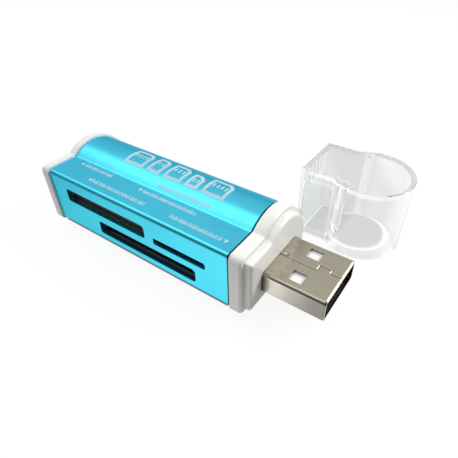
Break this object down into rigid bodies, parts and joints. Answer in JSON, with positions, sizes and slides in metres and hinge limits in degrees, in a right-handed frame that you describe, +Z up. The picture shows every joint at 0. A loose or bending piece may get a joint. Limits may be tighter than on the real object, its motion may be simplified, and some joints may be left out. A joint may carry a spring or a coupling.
{
  "type": "usb card reader",
  "caption": "Memory card reader: keyhole-section anodised sleeve with card slots in its front face, white end pieces, a USB plug and a clear pull-off cap standing beside it.",
  "frame": {"origin": "on the table, under the middle of the box around the reader and its cap", "axes": "+X along the sleeve towards the plug, -Y out of the slotted front face, +Z up from the table"},
  "size_m": [0.0666, 0.0436, 0.0169],
  "materials": {
    "blue_anodised": "satin anodised",
    "white_plastic": "moulded, soft gloss",
    "nickel_shell": "nickel plated sheet",
    "white_insulator": "moulded",
    "gold_contacts": "gold plated",
    "board_laminate": "solder mask",
    "black_plastic": "moulded, matt",
    "socket_steel": "folded sheet",
    "chip_body": "moulded, matt",
    "led_body": "clear resin",
    "ceramic": "fired ceramic",
    "resistor_body": "coated ceramic",
    "clear_plastic": "clear, polished"
  },
  "bodies": {
    "root": {"sleeve": "blue_anodised", "front_collar": "white_plastic", "rear_cap": "white_plastic", "usb_shell": "nickel_shell", "usb_insulator": "white_insulator", "usb_contacts": "gold_contacts", "circuit_board": "board_laminate", "sd_guide": "black_plastic", "sd_contacts": "gold_contacts", "stick_guide": "black_plastic", "stick_contacts": "gold_contacts", "micro_base": "black_plastic", "micro_shell": "socket_steel", "micro_contacts": "gold_contacts", "rear_socket_base": "black_plastic", "rear_socket_shell": "socket_steel", "rear_socket_contacts": "gold_contacts", "controller_chip": "chip_body", "crystal": "socket_steel", "activity_led": "led_body", "capacitors": "ceramic", "resistors": "resistor_body", "cap": "clear_plastic"}
  },
  "joints": []
}
